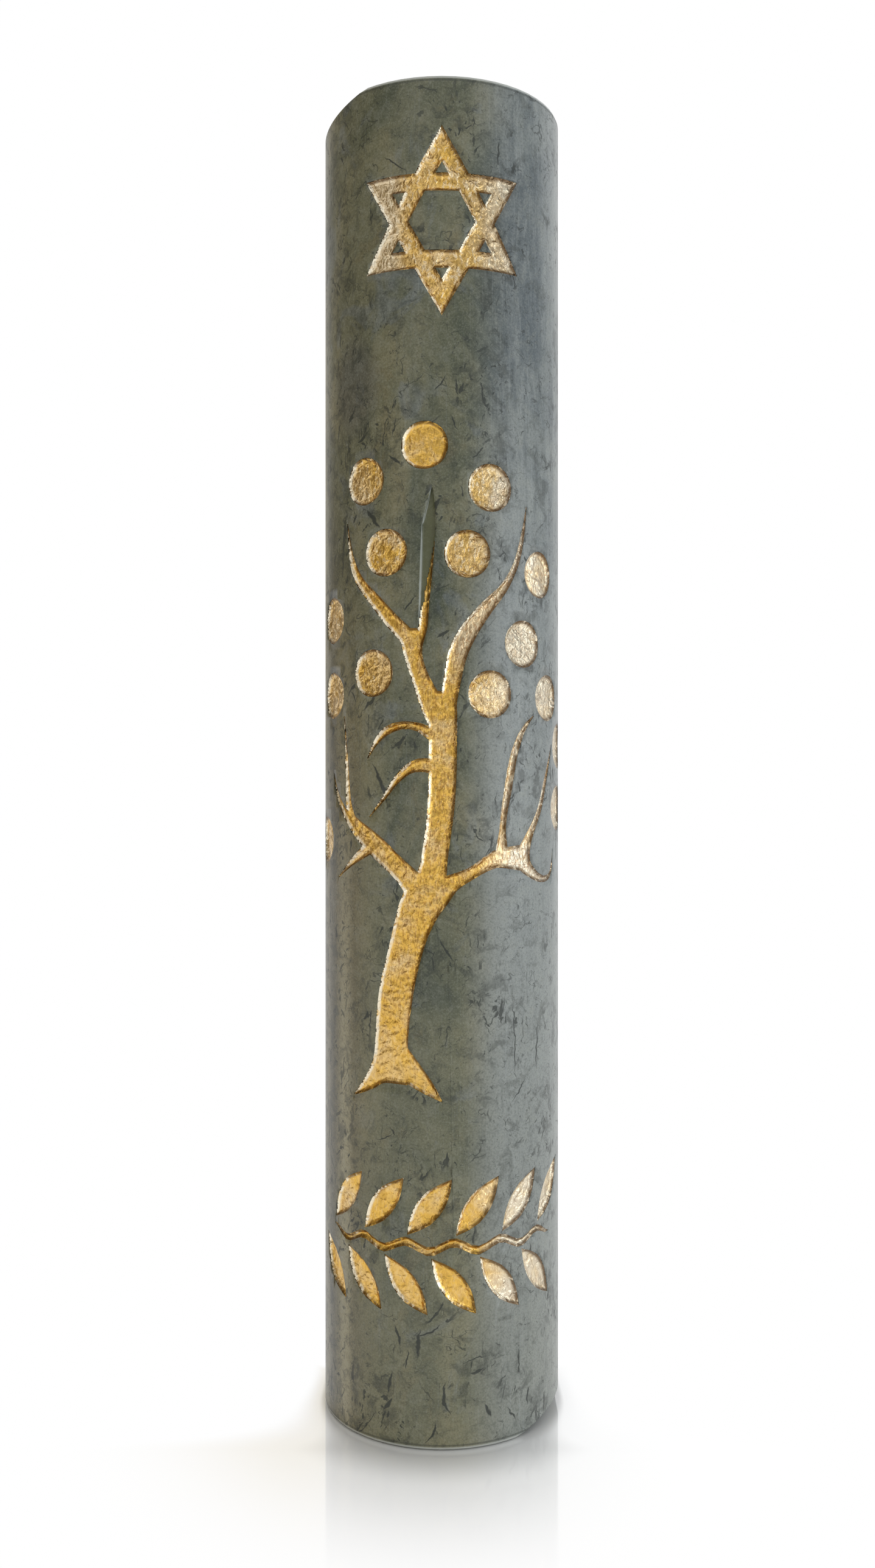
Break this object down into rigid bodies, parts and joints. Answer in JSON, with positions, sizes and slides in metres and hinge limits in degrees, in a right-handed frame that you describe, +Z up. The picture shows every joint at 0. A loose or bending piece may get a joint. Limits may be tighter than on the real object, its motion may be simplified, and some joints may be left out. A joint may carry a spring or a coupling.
{
  "type": "stone mezuzah case",
  "caption": "Half-round upright stone case with gilded recessed carving, a scroll channel with a lift-off cover in its flat back, and adhesive pads.",
  "frame": {"origin": "centre of the bounding box at the base, on the surface that the case stands on", "axes": "+Z up along the case, +Y out of the flat back towards the door post, the carved half-round front faces -Y"},
  "size_m": [0.0274, 0.0214, 0.15],
  "materials": {
    "stone": "satin",
    "gold_leaf": "satin",
    "cover": "matte",
    "parchment": "matte",
    "wrap_paper": "matte",
    "foam": "matte",
    "liner": "satin"
  },
  "bodies": {
    "case": {"stone_case": "stone", "pad_upper": "foam", "pad_lower": "foam", "gilt_fruit_01": "gold_leaf", "gilt_fruit_02": "gold_leaf", "gilt_fruit_03": "gold_leaf", "gilt_fruit_04": "gold_leaf", "gilt_fruit_05": "gold_leaf", "gilt_fruit_06": "gold_leaf", "gilt_fruit_07": "gold_leaf", "gilt_fruit_08": "gold_leaf", "gilt_fruit_09": "gold_leaf", "gilt_fruit_10": "gold_leaf", "gilt_fruit_11": "gold_leaf", "gilt_fruit_12": "gold_leaf", "gilt_fruit_13": "gold_leaf", "gilt_fruit_14": "gold_leaf", "gilt_fruit_15": "gold_leaf", "gilt_leaf_lower_01": "gold_leaf", "gilt_leaf_lower_02": "gold_leaf", "gilt_leaf_lower_03": "gold_leaf", "gilt_leaf_lower_04": "gold_leaf", "gilt_leaf_lower_05": "gold_leaf", "gilt_leaf_lower_06": "gold_leaf", "gilt_leaf_upper_01": "gold_leaf", "gilt_leaf_upper_02": "gold_leaf", "gilt_leaf_upper_03": "gold_leaf", "gilt_leaf_upper_04": "gold_leaf", "gilt_leaf_upper_05": "gold_leaf", "gilt_leaf_upper_06": "gold_leaf", "gilt_star": "gold_leaf", "gilt_stem": "gold_leaf", "gilt_tree": "gold_leaf"},
    "cover": {"back_cover": "cover"},
    "roll": {"scroll": "parchment", "scroll_wrap": "wrap_paper"},
    "upper_liner": {"liner_upper": "liner"},
    "lower_liner": {"liner_lower": "liner"}
  },
  "joints": [
    {"name": "cover_lift", "type": "slide", "parent": "case", "child": "cover", "axis": [0, 1, 0], "range_m": [0, 0.04]},
    {"name": "scroll_lift", "type": "slide", "parent": "case", "child": "roll", "axis": [0, 1, 0], "range_m": [0, 0.02]},
    {"name": "upper_liner_peel", "type": "slide", "parent": "case", "child": "upper_liner", "axis": [0, 1, 0], "range_m": [0, 0.03]},
    {"name": "lower_liner_peel", "type": "slide", "parent": "case", "child": "lower_liner", "axis": [0, 1, 0], "range_m": [0, 0.03]}
  ],
  "couplings": [
    {"joint": "scroll_lift", "follows": "cover_lift", "ratio": 0.5}
  ]
}
